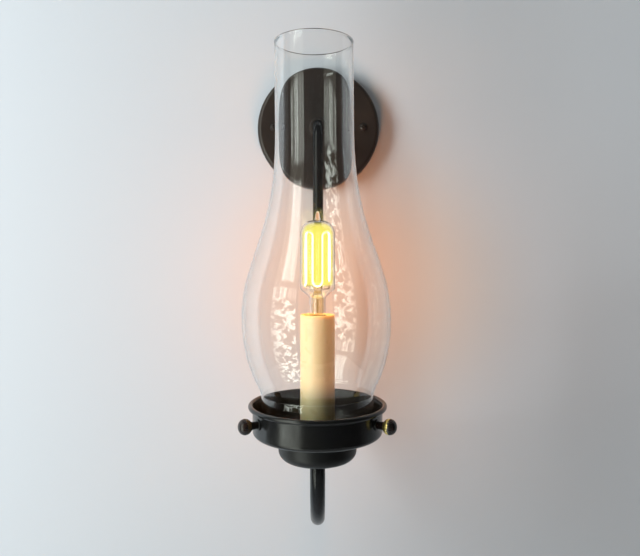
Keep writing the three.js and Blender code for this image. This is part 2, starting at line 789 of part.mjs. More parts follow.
function bulbEnvelope() {
  const half = bulbShoulderHeight / 2;
  const line = new THREE.Path();
  line.moveTo(bulbNeckRadius, neckBottom);
  line.lineTo(bulbNeckRadius, shoulderBottom);
  const waist = shoulderBottom + half;
  line.bezierCurveTo(bulbNeckRadius, waist, bulbRadius, waist, bulbRadius, shoulderTop);
  line.lineTo(bulbRadius, domeBottom);
  line.bezierCurveTo(bulbRadius, domeTop, bulbRadius, domeTop, bulbTipRadius, domeTop);
  const curveSteps = 5;
  const outer = line.getPoints(curveSteps);
  const inner = [...moved(outer, bulbWall), point(0, domeTop - bulbWall)].reverse();
  const tip = [
    point(bulbTipRadius * tipWaistShare, domeTop + bulbTipHeight / 3),
    point(bulbTipRadius * tipEndShare, bulbLength - bulbTipRadius / 2),
    point(0, bulbLength),
  ];
  return turned([...inner, ...outer, ...tip], middleSides);
}
add(bulbGroup, "bulb_glass", bulbEnvelope(), lampGlass);

// Stem: the glass tube in the neck, its press and the centre rod
const pressRadius = 2.2;
const pressHeight = 6;
const rodRadius = 0.9;
const cageRoom = 2.5;
const cageHeight = 35;
const cageBelowTip = 13.5;
const supportDrop = 4;
const buttonRadius = 1.8;
const buttonHeight = 1.6;
const bulbInnerNeck = bulbNeckRadius - bulbWall;
const cageRadius = bulbRadius - bulbWall - cageRoom;
const cageTop = bulbLength - cageBelowTip;
const cageBottom = cageTop - cageHeight;
const topButton = cageTop + supportDrop - buttonHeight / 2;
const rodTop = topButton - seatGap;
const pressTop = cageBottom - buttonHeight / 2;

const stemOutline = [
  point(0, neckBottom),
  point(bulbInnerNeck - seatGap, neckBottom),
  point(bulbInnerNeck - seatGap, pressTop - pressHeight),
  point(pressRadius, pressTop - pressHeight / 2),
  point(pressRadius, pressTop),
  point(rodRadius, pressTop),
  point(rodRadius, rodTop),
  point(0, rodTop),
];
add(bulbGroup, "bulb_stem", turned(stemOutline, smallSides), lampGlass);

// Squirrel-cage filament: one wire that runs up and down the legs of a round cage, with
// a loop between each leg and the next
const legCount = 8;
const loopHeight = 2.4;
const loopSteps = 4;
const filamentRadius = 0.4;
const legAngle = fullTurn / legCount;

function onCage(angle, height, radius = cageRadius) {
  return new THREE.Vector3(radius * Math.cos(angle), radius * Math.sin(angle), height);
}

function filamentLine() {
  const low = cageBottom + loopHeight;
  const high = cageTop - loopHeight;
  const points = [];
  for (let leg = 0; leg < legCount; leg += 1) {
    const rising = leg % 2 === 0;
    const angle = (leg + 0.5) * legAngle;
    const [from, to] = rising ? [low, high] : [high, low];
    points.push(onCage(angle, from), onCage(angle, to));
    const way = rising ? 1 : -1;
    for (let i = 1; i < loopSteps && leg < legCount - 1; i += 1) {
      const share = i / loopSteps;
      const height = to + way * loopHeight * Math.sin(share * Math.PI);
      points.push(onCage(angle + share * legAngle, height));
    }
  }
  return points;
}
add(bulbGroup, "bulb_filament", wire(filamentLine(), filamentRadius), glowingCarbon);

// Supports: a glass button on the rod with a wire out to each loop of the filament. The
// top wires slope down to their loops by the drop.
const supportRadius = 0.3;

function support(innerRadius, loops, drop) {
  const outline = [
    point(buttonRadius, 0),
    point(buttonRadius, buttonHeight),
    point(innerRadius, buttonHeight),
    point(innerRadius, 0),
  ];
  if (innerRadius === 0) outline.unshift(outline.pop());
  let joined = solid(turned(outline, smallSides));
  const end = cageRadius - filamentRadius - seatGap;
  for (const loop of loops) {
    const angle = loop * legAngle;
    const from = onCage(angle, buttonHeight / 2, buttonRadius - supportRadius);
    const to = onCage(angle, buttonHeight / 2 - drop, end);
    joined = joined.add(solid(wire([from, to], supportRadius)));
  }
  return surface(joined);
}
const topLoops = Array.from({ length: legCount / 2 }, (_, i) => 2 * i + 1);
const bottomLoops = topLoops.slice(1).map((loop) => loop - 1);
const topSupport = support(0, topLoops, supportDrop);
const bottomSupport = support(rodRadius + slip, bottomLoops, 0);
add(bulbGroup, "bulb_top_support", topSupport, steel, [0, 0, topButton]);
add(bulbGroup, "bulb_bottom_support", bottomSupport, steel, [0, 0, pressTop + seatGap]);

// Lead wires: from the press out and up to the two ends of the filament
const leadBend = 1.2;

for (const [name, leg] of [["bulb_lead_a", 0.5], ["bulb_lead_b", legCount - 0.5]]) {
  const angle = leg * legAngle;
  const foot = pressTop - pressHeight / 4;
  const points = [
    onCage(angle, cageBottom + loopHeight - seatGap),
    onCage(angle, foot + leadBend),
    onCage(angle, foot, cageRadius - leadBend),
    onCage(angle, foot, pressRadius + seatGap),
  ];
  add(bulbGroup, name, wire(points, supportRadius), steel);
}

// Wires: two insulated leads inside the arm, from the caps that close their ends
// behind the plate to the socket's terminals
const wireRadius = 1.1;
const wireOffset = 1.6;
const capAngle = 60;
const capMouth = 14;
const capLength = 14;
const capBore = 9;
const capRadius = 4;
const capTaper = 1.2;
const capPlane = (plateDepth - plateSheet + strapSheet) / 2;
const turnPlane = (strapSheet + armNutBack) / 2;
const clearOfNut = nutAcrossFlats / Math.sqrt(3) + wireRadius + slip;

// A place behind the plate, from its distance to the axis and to the wall
function behindPlate(side, radius, fromWall) {
  const angle = THREE.MathUtils.degToRad(capAngle);
  return new THREE.Vector3(side * radius * Math.cos(angle), -fromWall, radius * Math.sin(angle));
}

function lampWire(side) {
  const middle = armStations(side * wireOffset).map((station) => station.at);
  const entry = middle[0].clone().setY(-turnPlane - wireRadius / 2);
  const behind = [
    behindPlate(side, capMouth + capBore - seatGap, capPlane),
    behindPlate(side, capMouth, capPlane),
    behindPlate(side, clearOfNut, turnPlane),
    behindPlate(side, clearOfNut / 2, turnPlane),
    entry,
  ];
  const rise = terminalFlat + seatGap + wireRadius;
  const end = socketBottom + terminalHeight - terminalHeadRadius - seatGap;
  const above = [
    new THREE.Vector3(side * rise, -lampProjection, socketBottom - 2 * bracketHubHeight - lampDrop),
    new THREE.Vector3(side * rise, -lampProjection, end - lampDrop),
  ];
  return wire([...behind, ...middle, ...above], wireRadius);
}

const capOutline = [
  point(capRadius, 0),
  point(capRadius - capTaper, capLength),
  point(0, capLength),
  point(0, capBore),
  point(wireRadius + slip, capBore),
  point(wireRadius + slip, 0),
];

for (const [place, side, jacket] of [["live", -1, blackInsulation], ["neutral", 1, whiteInsulation]]) {
  add(sconce, `wire_${place}`, lampWire(side), jacket);
  const turn = THREE.MathUtils.degToRad(90 + side * (capAngle - 90));
  const cap = turned(capOutline.slice(3).concat(capOutline.slice(0, 3)), smallSides);
  cap.translate(0, 0, capMouth).rotateX(-quarterTurn).rotateZ(turn - quarterTurn);
  add(wallGroup, `wire_cap_${place}`, cap, capPlastic, [0, 0, capPlane]);
}

export default sconce;
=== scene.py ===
from math import cos, pi, radians, sin

import bmesh
import bpy
import numpy as np
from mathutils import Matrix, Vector


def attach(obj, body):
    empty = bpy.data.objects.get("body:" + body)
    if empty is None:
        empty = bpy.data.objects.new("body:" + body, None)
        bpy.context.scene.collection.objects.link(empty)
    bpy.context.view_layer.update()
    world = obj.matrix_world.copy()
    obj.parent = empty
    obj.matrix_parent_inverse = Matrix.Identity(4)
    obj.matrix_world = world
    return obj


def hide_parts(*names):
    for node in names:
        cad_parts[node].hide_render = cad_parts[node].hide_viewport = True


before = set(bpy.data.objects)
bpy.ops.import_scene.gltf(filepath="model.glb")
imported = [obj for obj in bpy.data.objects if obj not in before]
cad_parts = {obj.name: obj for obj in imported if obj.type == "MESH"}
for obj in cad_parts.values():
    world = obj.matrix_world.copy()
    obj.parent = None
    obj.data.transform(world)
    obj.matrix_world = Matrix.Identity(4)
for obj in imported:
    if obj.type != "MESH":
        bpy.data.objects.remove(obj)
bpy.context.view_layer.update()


# Camera: level and straight in front of the lamp, a little below the bulb, as the
# photograph was taken. The small shift puts the horizon above the picture's middle.
camera = bpy.data.objects.new("camera", bpy.data.cameras.new("camera"))
camera.location = (0.0016, -0.595, -0.1174)
camera.rotation_euler = (pi / 2, 0, 0)
camera.data.sensor_width = 36
camera.data.lens = 34.9
camera.data.shift_y = -0.039
bpy.context.collection.objects.link(camera)
bpy.context.scene.camera = camera


# Wall plate: a pressed steel pan with a flat face and a rounded edge, painted a dark
# brown bronze. The crossbar's two screws hold it on the wall.
MM = 0.001
PLATE = {"radius": 57.15, "depth": 14, "sheet": 1.5, "edge": 4, "hole": 5.3, "burr": 0.2}
WALL_OUT = {"along": (0, -1, 0), "across": (1, 0, 0)}


def rounded(corners, steps=6):
    """An outline from corners (radius, height, rounding). Each corner gives way to an arc
    that touches both its sides, rounding / tan(half the corner's angle) away from it. A
    guard point just past each end of an arc keeps the shading of the next face flat."""
    at, size = np.array(corners, float)[:, :2], np.array(corners, float)[:, 2:]
    before, after = np.roll(at, 1, 0) - at, np.roll(at, -1, 0) - at
    length = np.linalg.norm(after, axis=1, keepdims=True)
    before /= np.linalg.norm(before, axis=1, keepdims=True)
    after /= length
    half = np.arccos(np.clip((before * after).sum(1, keepdims=True), -1, 1)) / 2
    middle = before + after
    middle /= np.maximum(np.linalg.norm(middle, axis=1, keepdims=True), 1e-9)
    centre = at + middle * size / np.sin(half)
    reach = size / np.tan(half)
    first, last = at + before * reach - centre, at + after * reach - centre
    sweep = (pi - 2 * half)[:, None]
    share = np.linspace(0, 1, steps)[None, :, None]
    ways = np.sin((1 - share) * sweep) * first[:, None] + np.sin(share * sweep) * last[:, None]
    arcs = centre[:, None] + ways / np.sin(sweep)
    guard = np.clip(0.3 * (length - reach - np.roll(reach, -1, 0)), 0, 0.2)
    lead = at + before * (reach + np.roll(guard, 1, 0))
    trail = at + after * (reach + guard)
    return np.concatenate([lead[:, None], arcs, trail[:, None]], 1).reshape(-1, 2)


def turned(outline, sides=128, foot=(0, 0, 0), along=(0, 0, 1), across=(1, 0, 0)):
    """A grid of points: the outline (radius, height) in mm, turned about the line that
    leaves foot along one direction, from across onwards."""
    along, across = np.array(along, float), np.array(across, float)
    turn = np.arange(sides) * 2 * pi / sides
    ring = np.cos(turn)[:, None] * across + np.sin(turn)[:, None] * np.cross(along, across)
    radius, height = np.asarray(outline, float).T[:, :, None, None]
    return np.array(foot, float) + radius * ring + height * along


def piece(name, points, material, body, replaces=(), rows_close=False):
    """A closed surface from a grid of points (rows, columns, 3) in mm. Each face joins a
    point to the next of its row and column, doubled points are merged, and the sign of
    the enclosed volume says which way the faces have to be turned. Edges that turn by
    more than 40 degrees stay sharp."""
    rows, columns = points.shape[:2]
    index = np.arange(rows * columns).reshape(rows, columns)
    low = index if rows_close else index[:-1]
    high = np.roll(index, -1, 0) if rows_close else index[1:]
    faces = np.stack([low, np.roll(low, -1, 1), np.roll(high, -1, 1), high], -1).reshape(-1, 4)
    corners = points.reshape(-1, 3)[faces]
    volume = np.einsum("ij,ij->", corners[:, 0], np.cross(corners[:, 1], corners[:, 2]))
    volume += np.einsum("ij,ij->", corners[:, 0], np.cross(corners[:, 2], corners[:, 3]))
    faces = faces if volume > 0 else faces[:, ::-1]
    mesh = bpy.data.meshes.new(name)
    mesh.from_pydata((points.reshape(-1, 3) * MM).tolist(), [], faces.tolist())
    shape = bmesh.new()
    shape.from_mesh(mesh)
    bmesh.ops.remove_doubles(shape, verts=shape.verts, dist=1e-7)
    shape.to_mesh(mesh)
    shape.free()
    mesh.shade_smooth()
    mesh.set_sharp_from_angle(angle=radians(40))
    mesh.materials.append(material)
    made = bpy.data.objects.new(name, mesh)
    bpy.context.collection.objects.link(made)
    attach(made, body)
    if replaces:
        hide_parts(*replaces)


class Field:
    """One output of a material's nodes. Sums and products of fields and numbers add Math
    nodes, and node() adds any other node to the same material."""

    def __init__(self, tree, socket=None):
        self.tree, self.socket = tree, socket

    def node(self, kind, inputs=None, output=0, **settings):
        """Adds a node: its settings first, then its sockets' values or links. Gives back
        the named or numbered output."""
        made = self.tree.nodes.new("ShaderNode" + kind)
        for name, value in settings.items():
            setattr(made, name, value)
        for name, value in (inputs or {}).items():
            if isinstance(value, Field):
                self.tree.links.new(value.socket, made.inputs[name])
            else:
                made.inputs[name].default_value = value
        return Field(self.tree, made.outputs[output])

    def maths(self, operation, *values):
        return self.node("Math", dict(enumerate(values)), operation=operation)

    def __add__(self, other):
        return self.maths("ADD", self, other)

    def __sub__(self, other):
        return self.maths("SUBTRACT", self, other)

    def __rsub__(self, other):
        return self.maths("SUBTRACT", other, self)

    def __mul__(self, other):
        return self.maths("MULTIPLY", self, other)

    def __truediv__(self, other):
        return self.maths("DIVIDE", self, other)

    def __pow__(self, other):
        return self.maths("POWER", self, other)

    __radd__, __rmul__ = __add__, __mul__

    def step(self, low, high, least=0.0, most=1.0):
        """Rises smoothly from least to most between two values of the field."""
        ends = {"Value": self, "From Min": low, "From Max": high, "To Min": least, "To Max": most}
        return self.node("MapRange", ends, interpolation_type="SMOOTHSTEP")

    def mixed(self, colour_a, colour_b):
        """From one colour to the other as the field goes from 0 to 1."""
        ends = {0: self, 6: colour_a, 7: colour_b}
        return self.node("Mix", ends, 2, data_type="RGBA")

    def bump(self, strength, depth):
        """The surface raised by the field, by up to depth in metres."""
        return self.node("Bump", {"Height": self, "Strength": strength, "Distance": depth})

    def stretched(self, scale):
        """The place of a point with x, y and z multiplied by scale, for drawn-out noise."""
        return self.node("Mapping", {"Vector": self, "Scale": scale})


def material(name, build):
    """A material whose surface is what build makes from an empty field and from the
    place of a point, x, y and z in metres."""
    made = bpy.data.materials.new(name)
    made.use_nodes = True
    made.node_tree.nodes.clear()
    empty = Field(made.node_tree)
    at = empty.node("TexCoord", output="Object")
    parts = [at.node("SeparateXYZ", {0: at}, i) for i in range(3)]
    shader = build(at, *parts)
    out = made.node_tree.nodes.new("ShaderNodeOutputMaterial")
    made.node_tree.links.new(shader.socket, out.inputs["Surface"])
    return made


def noise(at, scale, detail=2.0, roughness=0.5):
    """Cloudy noise about 0.5, with scale patches to the metre."""
    sockets = {"Vector": at, "Scale": scale, "Detail": detail, "Roughness": roughness}
    return at.node("TexNoise", sockets)


def bronze_paint(name, colour, warm_colour, gloss, shine=0.5):
    """Satin paint: slow patches between two tones and in gloss, over a fine orange peel."""

    def build(at, x, y, z):
        patches = noise(at, 35.0, 3.0).step(0.35, 0.7)
        peel = noise(at, 1400.0, 2.0) * 0.5 + noise(at, 380.0, 1.0)
        return at.node(
            "BsdfPrincipled",
            {
                "Base Color": patches.mixed((*colour, 1), (*warm_colour, 1)),
                "Roughness": noise(at, 120.0, 2.0).step(0.3, 0.7, gloss - 0.03, gloss + 0.06),
                "Metallic": 0.0,
                "Specular IOR Level": shine,
                "Normal": peel.bump(0.1, 0.00012),
            },
        )

    return material(name, build)


plate_bronze = bronze_paint("plate_bronze", (0.021, 0.0155, 0.0125), (0.028, 0.020, 0.015), 0.36)
plate_inside = PLATE["radius"] - PLATE["sheet"]
plate_back = PLATE["depth"] - PLATE["sheet"]
plate_outline = rounded(
    [
        (PLATE["radius"], 0, PLATE["burr"]),
        (PLATE["radius"], PLATE["depth"], PLATE["edge"]),
        (PLATE["hole"], PLATE["depth"], PLATE["burr"]),
        (PLATE["hole"], plate_back, PLATE["burr"]),
        (plate_inside, plate_back, PLATE["edge"] - PLATE["sheet"]),
        (plate_inside, 0, PLATE["burr"]),
    ],
    steps=12,
)
piece(
    "plate",
    turned(plate_outline, 192, **WALL_OUT),
    plate_bronze,
    "mounting",
    ["wall_plate"],
    rows_close=True,
)


# Mounting screws: round slotted heads, painted with the plate. They run through it into
# the crossbar, which holds the sconce on the wall box.
def dressed(name, finish):
    """Gives a CAD node's own mesh a finish."""
    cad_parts[name].data.materials.clear()
    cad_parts[name].data.materials.append(finish)


for side in ("left", "right"):
    dressed(f"mounting_screw_{side}", plate_bronze)


# Crossbar, ground screw, washer and nuts: zinc-plated steel, brushed along the strap,
# with the green dye of the ground screw. Only the back of the sconce shows them.
def zinc(name, colour, colour_dull):
    """Plated steel: fine lines along X over slow patches of a duller tone."""

    def build(at, x, y, z):
        lines = noise(at.stretched((40.0, 2400.0, 2400.0)), 1.0, 2.0)
        patches = noise(at, 160.0, 4.0, 0.6).step(0.4, 0.65)
        return at.node(
            "BsdfPrincipled",
            {
                "Base Color": patches.mixed((*colour, 1), (*colour_dull, 1)),
                "Roughness": lines.step(0.2, 0.8, 0.26, 0.42),
                "Metallic": 1.0,
                "Normal": lines.bump(0.15, 0.00005),
            },
        )

    return material(name, build)


zinc_steel = zinc("zinc_steel", (0.56, 0.57, 0.58), (0.42, 0.42, 0.43))
for name in ("crossbar", "arm_washer", "arm_nut", "holder_nut", "socket_bracket", "bulb_contact"):
    dressed(name, zinc_steel)
dressed("terminal_screw_neutral", zinc_steel)
dressed("ground_screw", zinc("green_zinc", (0.05, 0.27, 0.10), (0.03, 0.17, 0.07)))


# Arm: one steel pipe, bent out of the plate, down along the wall and round a hook up to
# the lamp, painted satin black bronze. The wires run in its bore.
ARM = {"pipe": 5, "bore": 3.5, "elbow": 14, "hook": 56}
ARM_PLACE = {"down": -38, "up": -190, "hook_top": -253}  # y of the upright runs, and z


def carried(path, radii, across, sides=24):
    """A grid of points: a circle of each station's radius carried along a path of points
    in mm. The circles stand square to the path, turned from the direction across."""
    path = np.asarray(path, float)
    along = np.gradient(path, axis=0)
    along /= np.linalg.norm(along, axis=1, keepdims=True)
    across = np.broadcast_to(np.asarray(across, float), path.shape)
    across = across - (across * along).sum(1, keepdims=True) * along
    across /= np.linalg.norm(across, axis=1, keepdims=True)
    turn = (np.arange(sides) * 2 * pi / sides)[None, :, None]
    ring = np.cos(turn) * across[:, None] + np.sin(turn) * np.cross(along, across)[:, None]
    radii = np.broadcast_to(np.asarray(radii, float), len(path))
    return path[:, None] + radii[:, None, None] * ring


def arc(centre, radius, start, end, steps):
    """Points of an arc in the plane x = 0, by angles in degrees from -Y towards +Z."""
    turn = np.radians(np.linspace(start, end, steps))
    y, z = centre[0] - radius * np.cos(turn), centre[1] + radius * np.sin(turn)
    return np.stack([0 * turn, y, z], 1)


arm_bronze = bronze_paint("arm_bronze", (0.005, 0.0055, 0.0065), (0.008, 0.0075, 0.007), 0.18, 0.3)
down, up, hook_top = ARM_PLACE.values()
arm_path = np.concatenate(
    [
        [(0, -6.4, 0), (0, -12, 0), (0, -20, 0)],  # out of the plate
        arc((down + ARM["elbow"], -ARM["elbow"]), ARM["elbow"], 90, 0, 16),
        [(0, down, z) for z in (-60, -100, -140, -180, -220, -245)],  # along the wall
        arc((down - ARM["hook"], hook_top), ARM["hook"], 180, 270, 36),
        arc((up + ARM["hook"], hook_top), ARM["hook"], 270, 360, 36)[1:],
        [(0, up, z) for z in (-245, -236, -228, -224.6)],  # up into the lamp
    ]
)
arm_skin = carried(arm_path, ARM["pipe"], (1, 0, 0), 40)
arm_bore = carried(arm_path, ARM["bore"], (1, 0, 0), 40)
piece(
    "arm",
    np.concatenate([arm_skin, arm_bore[::-1]]),
    arm_bronze,
    "mounting",
    ["arm_pipe"],
    rows_close=True,
)


# Collar: a small turned ring with a sloping face, where the pipe leaves the plate. It is
# slipped over the pipe and painted with the plate, and a seat gap parts the two.
SEAT_GAP = 0.3
COLLAR = {"radius": 9, "face": 7.5, "shoulder": 3.5, "thickness": 5}

collar_foot = PLATE["depth"] + SEAT_GAP
collar_outline = rounded(
    [
        (COLLAR["radius"], collar_foot, 0.3),
        (COLLAR["radius"], collar_foot + COLLAR["shoulder"], 0.5),
        (COLLAR["face"], collar_foot + COLLAR["thickness"], 0.5),
        (PLATE["hole"], collar_foot + COLLAR["thickness"], 0.2),
        (PLATE["hole"], collar_foot, 0.1),
    ]
)
piece(
    "collar",
    turned(collar_outline, 96, **WALL_OUT),
    plate_bronze,
    "mounting",
    ["arm_collar"],
    rows_close=True,
)


# Cup: the turned brass seat between the pipe and the holder, with a bead at its top, a
# round lower edge and a hub on the pipe, painted a duller black bronze than the arm.
LAMP = (0, -190, -235)  # the middle of the holder's underside, where heights count from
CUP_BLACK, CUP_WARM = (0.0085, 0.0088, 0.0090), (0.0115, 0.0110, 0.0095)

cup_bronze = bronze_paint("cup_bronze", CUP_BLACK, CUP_WARM, 0.4, 0.35)
cup_outline = rounded(
    [
        (5.3, -16.4, 0.2),  # hole, below
        (25.5, -16.4, 6.6),  # round lower edge
        (25.6, -3.1, 0.4),
        (26.4, -2.6, 0.5),  # bead
        (26.4, -0.3, 0.6),
        (24.4, -0.3, 0.3),  # rim under the holder
        (23.6, -14.4, 4.4),  # inside of the wall
        (9, -14.4, 0.3),
        (9, -8.4, 0.3),  # top of the hub
        (5.3, -8.4, 0.2),
    ],
    steps=10,
)
piece(
    "cup",
    turned(cup_outline, 128, LAMP),
    cup_bronze,
    "mounting",
    ["holder_cup"],
    rows_close=True,
)


# Holder: a dish spun from brass sheet, its edge rolled outwards into a round bead, with
# three tapped bosses for the screws that hold the chimney, painted satin black bronze.
DISH = {"radius": 42.2, "sheet": 1, "corner": 3, "hole": 5.3, "bead": 1.6}
BOSS = {"radius": 3.4, "hole": 2.38, "inner": 39.6, "outer": 43.1}
SCREWS = {"left": 210, "right": 330, "rear": 90}  # degrees round the lamp from +X
SCREW_HEIGHT = 11.2
HOLDER_BLACK, HOLDER_WARM = (0.0075, 0.0078, 0.0080), (0.0105, 0.0100, 0.0085)


def ring_points(centre, radius, start, end, steps):
    """Points of an arc in an outline, by angles in degrees from outwards towards up."""
    turn = np.radians(np.linspace(start, end, steps))
    return np.stack([centre[0] + radius * np.cos(turn), centre[1] + radius * np.sin(turn)], 1)


holder_bronze = bronze_paint("holder_bronze", HOLDER_BLACK, HOLDER_WARM, 0.2)
dish_inside = DISH["radius"] - DISH["sheet"]
dish_bend = (DISH["radius"] - DISH["corner"], DISH["corner"])
dish_outline = np.concatenate(
    [
        [(DISH["hole"], 0), (38.9, 0)],  # underside of the floor
        ring_points(dish_bend, DISH["corner"], -90, 0, 14),
        [(DISH["radius"], height) for height in (3.3, 9, 15.9, 16.2)],  # outer wall
        ring_points((43.5, 18.5), DISH["bead"], -122, 180, 28),  # rolled bead
        [(41.55, 17.4), (dish_inside, 16.6), (dish_inside, 9), (dish_inside, 3.3)],
        ring_points(dish_bend, DISH["corner"] - DISH["sheet"], 0, -90, 12),
        [(38.9, DISH["sheet"]), (DISH["hole"], DISH["sheet"])],  # top of the floor
    ]
)
piece(
    "holder",
    turned(dish_outline, 192, LAMP),
    holder_bronze,
    "mounting",
    ["chimney_holder"],
    rows_close=True,
)


def outwards(degrees):
    """Where a screw's line leaves the lamp's axis, and its direction."""
    turn = radians(degrees)
    foot = (LAMP[0], LAMP[1], LAMP[2] + SCREW_HEIGHT)
    return {"foot": foot, "along": (cos(turn), sin(turn), 0), "across": (0, 0, 1)}


boss_outline = rounded(
    [
        (BOSS["hole"], BOSS["inner"], 0.1),
        (BOSS["radius"], BOSS["inner"], 0.3),
        (BOSS["radius"], BOSS["outer"], 0.5),
        (BOSS["hole"], BOSS["outer"], 0.1),
    ]
)
for place, degrees in SCREWS.items():
    piece(
        f"boss_{place}",
        turned(boss_outline, 48, **outwards(degrees)),
        holder_bronze,
        "mounting",
        ["chimney_holder"],
        rows_close=True,
    )


# Chimney screws: brass thumb screws with round, knurled heads, painted over so that
# bare brass shows only where fingers and the paint's edge have left it.
KNOB = {"neck": 2.7, "radius": 4.9, "half": 4.4, "from": 47.4, "fullness": 0.92, "sides": 144}
GRIP = {"middle": 51.6, "half": 3.0, "grooves": 24, "depth": 0.04}
KNOB_BLACK, KNOB_BROWN = (0.009, 0.0065, 0.006, 1), (0.026, 0.014, 0.010, 1)
BARE_BRASS = (0.80, 0.63, 0.22, 1)
BARE = {"from": 0.0474, "to": 0.0514, "ragged": 0.0022}  # metres from the lamp's axis
BARE_SHARE = {"left": 0.06, "right": 1.0, "rear": 0.3}


def knob_paint(name, bare):
    """Brown-black paint over brass, by the distance from the lamp's axis: the brass shows
    by the share bare on the turned part of the head next to the neck, with a ragged
    edge, and a browner tone comes and goes all over the paint."""

    def build(at, x, y, z):
        depth = y - LAMP[1] * MM
        out = (x * x + depth * depth) ** 0.5
        ragged = out + (noise(at, 900.0, 3.0) - 0.5) * BARE["ragged"]
        near_edge = ragged.step(BARE["from"], BARE["from"] + 0.0004)
        far_edge = ragged.step(BARE["to"], BARE["to"] - 0.0006)
        wear = far_edge * near_edge * bare
        tone = noise(at, 260.0, 2.0).step(0.35, 0.65).mixed(KNOB_BLACK, KNOB_BROWN)
        return at.node(
            "BsdfPrincipled",
            {
                "Base Color": wear.mixed(tone, BARE_BRASS),
                "Roughness": 0.24 + wear * 0.08,
                "Metallic": wear,
                "Normal": noise(at, 1200.0, 2.0).bump(0.12, 0.0001),
            },
        )

    return material(name, build)


def thumb_screw():
    """The screw's outline: shank, neck, and a head that is round in section. Its radius
    goes by sin(turn) ^ fullness and its place by half times -cos(turn)."""
    neck_turn = np.arcsin(KNOB["neck"] / KNOB["radius"])
    middle = KNOB["from"] + KNOB["half"] * cos(neck_turn)
    turn = np.linspace(neck_turn, pi, 48)
    swell = KNOB["radius"] * np.sin(turn) ** KNOB["fullness"]
    head = np.stack([swell, middle - KNOB["half"] * np.cos(turn)], 1)
    head[-1, 0] = 0
    shank = [(0, 37.1), (1.6, 37.1), (2.08, 37.6), (2.08, 43.9), (2.3, 44.3), (2.4, 46.6)]
    return np.concatenate([shank, head])


def knurled(rows, foot, along):
    """The rows drawn in towards the screw's line by depth times |sin| of the turn, in
    grooves that fade out to both sides of the grip as exp(-s^6)."""
    foot, along = np.array(foot, float), np.array(along, float)
    out = ((rows - foot) @ along)[..., None]
    axis = foot + out * along
    grip = np.exp(-(((out - GRIP["middle"]) / GRIP["half"]) ** 6))
    turn = np.arange(KNOB["sides"]) * pi / KNOB["sides"]
    grooves = np.abs(np.sin(turn * GRIP["grooves"]))[None, :, None]
    return axis + (rows - axis) * (1 - GRIP["depth"] * grip * grooves)


for place, degrees in SCREWS.items():
    line = outwards(degrees)
    piece(
        f"thumb_screw_{place}",
        knurled(turned(thumb_screw(), KNOB["sides"], **line), line["foot"], line["along"]),
        knob_paint(f"knob_bronze_{place}", BARE_SHARE[place]),
        f"screw_{place}",
        [f"chimney_screw_{place}"],
    )


# Socket: a black phenolic body on a steel strap, with a brass screw shell, a sprung
# contact and its rivet. The candle cover hides all of it until it is lifted.
def phenolic_build(at, x, y, z):
    """Moulded phenolic: almost black, with a faint brown mottle and a low gloss."""
    mottle = noise(at, 500.0, 4.0, 0.6).step(0.3, 0.7)
    return at.node(
        "BsdfPrincipled",
        {
            "Base Color": mottle.mixed((0.014, 0.012, 0.011, 1), (0.03, 0.022, 0.018, 1)),
            "Roughness": mottle.step(0.0, 1.0, 0.38, 0.52),
            "Normal": mottle.bump(0.08, 0.0001),
        },
    )


def brass_build(at, x, y, z):
    """Rolled brass: fine lines round the lamp's axis and a light brown tarnish."""
    lines = noise(at.stretched((60.0, 60.0, 5000.0)), 1.0, 2.0)
    tarnish = noise(at, 300.0, 4.0, 0.6).step(0.45, 0.75)
    return at.node(
        "BsdfPrincipled",
        {
            "Base Color": tarnish.mixed((0.78, 0.57, 0.22, 1), (0.45, 0.29, 0.11, 1)),
            "Roughness": lines.step(0.2, 0.8, 0.22, 0.36) + tarnish * 0.12,
            "Metallic": 1.0,
            "Normal": lines.bump(0.1, 0.00004),
        },
    )


phenolic = material("phenolic", phenolic_build)
brass = material("brass", brass_build)
for name in ("socket_body", "bulb_insulator"):
    dressed(name, phenolic)
for name in ("socket_shell", "socket_contact", "socket_eyelet", "terminal_screw_live"):
    dressed(name, brass)


# Wires: stranded leads in black and white insulation, which run through the arm to the
# socket. Two twist-on caps close their ends behind the plate.
def moulded(name, colour, colour_worn, rough):
    """Soft plastic: slow patches between two tones over a fine grain."""

    def build(at, x, y, z):
        patches = noise(at, 220.0, 4.0, 0.6).step(0.35, 0.7)
        return at.node(
            "BsdfPrincipled",
            {
                "Base Color": patches.mixed((*colour, 1), (*colour_worn, 1)),
                "Roughness": patches.step(0.0, 1.0, rough, rough + 0.12),
                "Normal": noise(at, 2600.0).bump(0.12, 0.00008),
            },
        )

    return material(name, build)


black_plastic = moulded("black_insulation", (0.016, 0.016, 0.017), (0.028, 0.027, 0.026), 0.4)
white_plastic = moulded("white_insulation", (0.72, 0.71, 0.67), (0.60, 0.58, 0.53), 0.4)
dressed("wire_live", black_plastic)
dressed("wire_neutral", white_plastic)
cap_plastic = moulded("cap_plastic", (0.62, 0.20, 0.03), (0.50, 0.15, 0.025), 0.42)
for side in ("live", "neutral"):
    dressed(f"wire_cap_{side}", cap_plastic)


# Candle cover: a plain resin sleeve the colour of old ivory, with a softly rounded top
# edge. It stands loose on the holder. Its upper end is painted paler and given a painted
# orange glow, strongest at the rim, for the bulb's light on it.
CANDLE = {"radius": 11.3, "bore": 10.1, "foot": DISH["sheet"] + SEAT_GAP, "top": 77.5}


def lamp_z(height):
    """The z in metres of a height in mm above the holder's underside."""
    return (LAMP[2] + height) * MM


